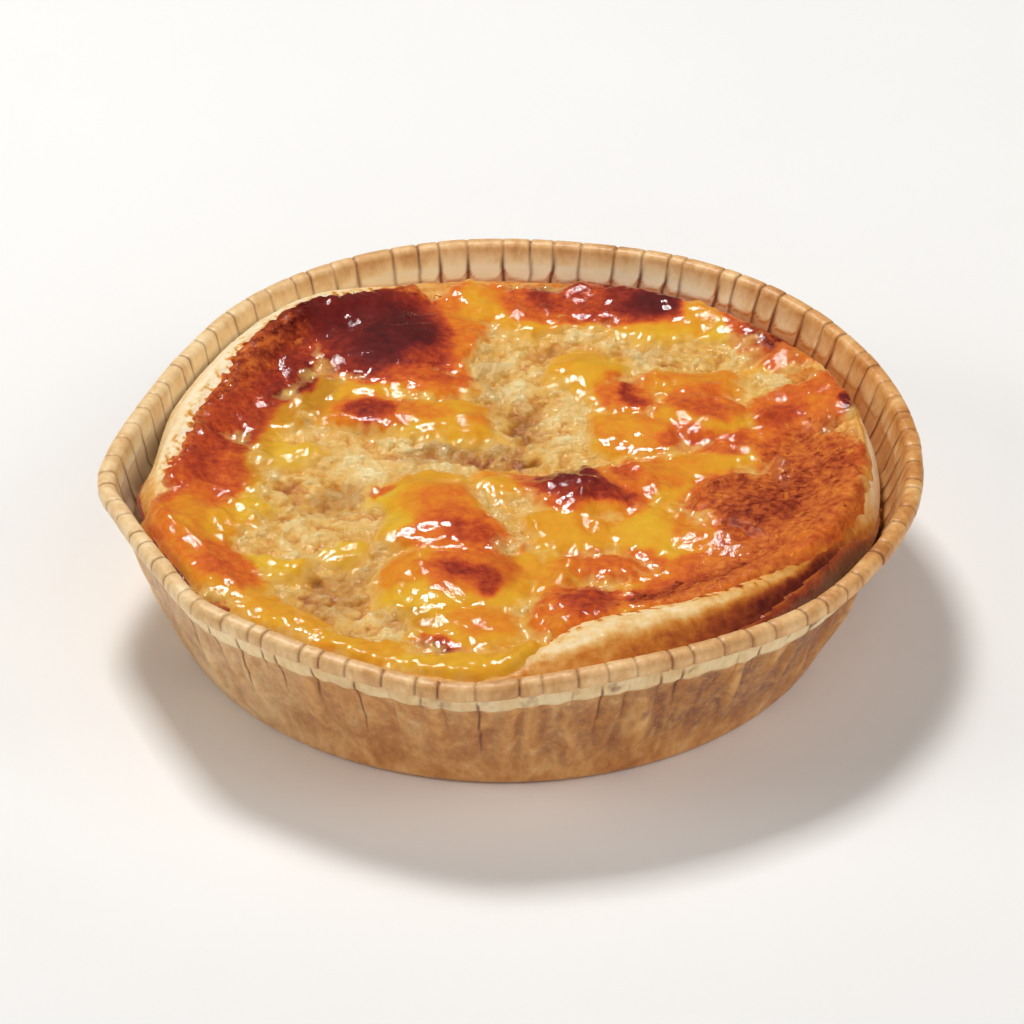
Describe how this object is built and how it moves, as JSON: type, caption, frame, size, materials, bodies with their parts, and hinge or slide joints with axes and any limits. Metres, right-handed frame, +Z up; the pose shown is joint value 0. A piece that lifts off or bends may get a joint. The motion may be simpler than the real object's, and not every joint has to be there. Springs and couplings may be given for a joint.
{
  "type": "quiche",
  "caption": "Round quiche with lumpy pale filling, browned melted cheese and a pastry edge, in its pleated paper baking case with a rolled rim.",
  "frame": {"origin": "middle of the paper case's flat base, on the surface it rests on", "axes": "+Z up out of the case; -Y is the front, the side the picture looks from; +X to the right as seen from the front"},
  "size_m": [0.1236, 0.1259, 0.0291],
  "materials": {
    "baking_paper": "satin greaseproof paper, stained by the bake",
    "pastry": "matt, flaky",
    "filling": "moist, lumpy",
    "browned_cheese": "glossy, browned in patches"
  },
  "bodies": {
    "root": {"paper_case": "baking_paper", "crust": "pastry", "filling": "filling", "cheese": "browned_cheese"}
  },
  "joints": []
}
